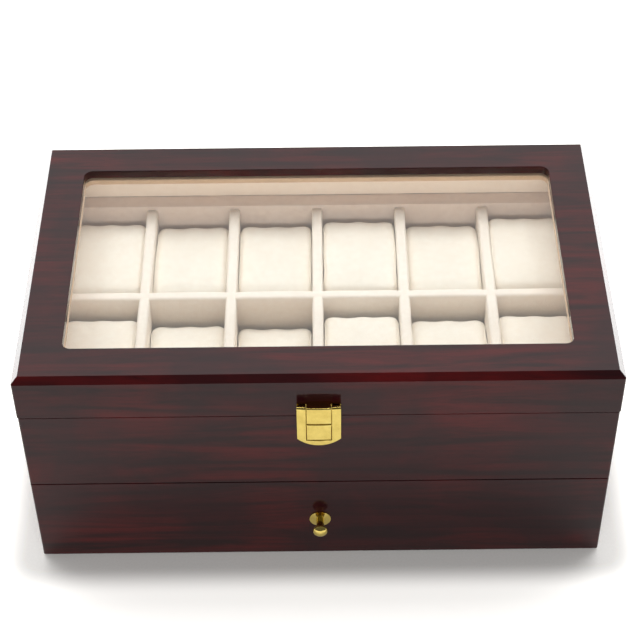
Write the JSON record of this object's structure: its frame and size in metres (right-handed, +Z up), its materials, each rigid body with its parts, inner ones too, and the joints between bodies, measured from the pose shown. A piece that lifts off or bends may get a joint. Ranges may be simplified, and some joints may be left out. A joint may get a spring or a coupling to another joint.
{
  "type": "watch box",
  "caption": "Lacquered wooden watch box with a glazed hinged lid, a flap latch, a divided tray of soft watch pillows, and a pull-out drawer with a round knob",
  "frame": {"origin": "on the ground, under the centre of the case's outside width and depth", "axes": "+Z up, +X to the right seen from the front, the drawer opens towards -Y"},
  "size_m": [0.3408, 0.2153, 0.1571],
  "materials": {
    "lacquered_wood": "high gloss lacquer",
    "inner_wood": "satin stain",
    "interior_velvet": "short cream pile",
    "pillow_velvet": "short cream pile",
    "base_felt": "felt",
    "clear_glass": "clear",
    "polished_brass": "polished pale gold"
  },
  "bodies": {
    "case": {"case_front_rail": "lacquered_wood", "case_left_side": "lacquered_wood", "case_right_side": "lacquered_wood", "case_back": "lacquered_wood", "case_base": "inner_wood", "base_felt": "base_felt", "tray_floor": "inner_wood", "tray_floor_pad": "interior_velvet", "tray_liner_front": "interior_velvet", "tray_liner_back": "interior_velvet", "tray_liner_left": "interior_velvet", "tray_liner_right": "interior_velvet", "tray_long_divider": "interior_velvet", "tray_cross_dividers": "interior_velvet", "hinge_left_case_leaf": "polished_brass", "hinge_right_case_leaf": "polished_brass", "hinge_left_pin": "polished_brass", "hinge_right_pin": "polished_brass", "latch_catch": "polished_brass", "case_screws": "polished_brass"},
    "lid": {"lid_top": "lacquered_wood", "lid_front_rail": "lacquered_wood", "lid_back_rail": "lacquered_wood", "lid_left_rail": "lacquered_wood", "lid_right_rail": "lacquered_wood", "lid_glass": "clear_glass", "lid_glass_retainer": "interior_velvet", "lid_lining": "interior_velvet", "hinge_left_lid_leaf": "polished_brass", "hinge_right_lid_leaf": "polished_brass", "latch_plate": "polished_brass", "lid_screws": "polished_brass"},
    "latch_flap": {"latch_flap": "polished_brass", "latch_pin": "polished_brass"},
    "drawer": {"drawer_front": "lacquered_wood", "drawer_left_side": "inner_wood", "drawer_right_side": "inner_wood", "drawer_back": "inner_wood", "drawer_bottom": "inner_wood", "drawer_floor_pad": "interior_velvet", "drawer_lining": "interior_velvet", "drawer_long_divider": "interior_velvet", "drawer_cross_dividers": "interior_velvet", "drawer_pillows": "pillow_velvet", "knob_rosette": "polished_brass", "knob": "polished_brass", "knob_screw": "polished_brass"},
    "tray_pillow_rear_1": {"tray_pillow_rear_1": "pillow_velvet"},
    "tray_pillow_rear_2": {"tray_pillow_rear_2": "pillow_velvet"},
    "tray_pillow_rear_3": {"tray_pillow_rear_3": "pillow_velvet"},
    "tray_pillow_rear_4": {"tray_pillow_rear_4": "pillow_velvet"},
    "tray_pillow_rear_5": {"tray_pillow_rear_5": "pillow_velvet"},
    "tray_pillow_rear_6": {"tray_pillow_rear_6": "pillow_velvet"},
    "tray_pillow_front_1": {"tray_pillow_front_1": "pillow_velvet"},
    "tray_pillow_front_2": {"tray_pillow_front_2": "pillow_velvet"},
    "tray_pillow_front_3": {"tray_pillow_front_3": "pillow_velvet"},
    "tray_pillow_front_4": {"tray_pillow_front_4": "pillow_velvet"},
    "tray_pillow_front_5": {"tray_pillow_front_5": "pillow_velvet"},
    "tray_pillow_front_6": {"tray_pillow_front_6": "pillow_velvet"}
  },
  "joints": [
    {"name": "lid_hinge", "type": "hinge", "parent": "case", "child": "lid", "pos_m": [0, 0.09825, 0.126], "axis": [-1, 0, 0], "range_deg": [0, 95]},
    {"name": "latch_flap_hinge", "type": "hinge", "parent": "lid", "child": "latch_flap", "pos_m": [0, -0.10635, 0.1352], "axis": [-1, 0, 0], "range_deg": [0, 105]},
    {"name": "drawer_slide", "type": "slide", "parent": "case", "child": "drawer", "axis": [0, -1, 0], "range_m": [0, 0.15]},
    {"name": "pillow_rear_1_lift", "type": "slide", "parent": "case", "child": "tray_pillow_rear_1", "axis": [0, 0, 1], "range_m": [0, 0.02]},
    {"name": "pillow_rear_2_lift", "type": "slide", "parent": "case", "child": "tray_pillow_rear_2", "axis": [0, 0, 1], "range_m": [0, 0.02]},
    {"name": "pillow_rear_3_lift", "type": "slide", "parent": "case", "child": "tray_pillow_rear_3", "axis": [0, 0, 1], "range_m": [0, 0.02]},
    {"name": "pillow_rear_4_lift", "type": "slide", "parent": "case", "child": "tray_pillow_rear_4", "axis": [0, 0, 1], "range_m": [0, 0.02]},
    {"name": "pillow_rear_5_lift", "type": "slide", "parent": "case", "child": "tray_pillow_rear_5", "axis": [0, 0, 1], "range_m": [0, 0.02]},
    {"name": "pillow_rear_6_lift", "type": "slide", "parent": "case", "child": "tray_pillow_rear_6", "axis": [0, 0, 1], "range_m": [0, 0.02]},
    {"name": "pillow_front_1_lift", "type": "slide", "parent": "case", "child": "tray_pillow_front_1", "axis": [0, 0, 1], "range_m": [0, 0.02]},
    {"name": "pillow_front_2_lift", "type": "slide", "parent": "case", "child": "tray_pillow_front_2", "axis": [0, 0, 1], "range_m": [0, 0.02]},
    {"name": "pillow_front_3_lift", "type": "slide", "parent": "case", "child": "tray_pillow_front_3", "axis": [0, 0, 1], "range_m": [0, 0.02]},
    {"name": "pillow_front_4_lift", "type": "slide", "parent": "case", "child": "tray_pillow_front_4", "axis": [0, 0, 1], "range_m": [0, 0.02]},
    {"name": "pillow_front_5_lift", "type": "slide", "parent": "case", "child": "tray_pillow_front_5", "axis": [0, 0, 1], "range_m": [0, 0.02]},
    {"name": "pillow_front_6_lift", "type": "slide", "parent": "case", "child": "tray_pillow_front_6", "axis": [0, 0, 1], "range_m": [0, 0.02]}
  ]
}
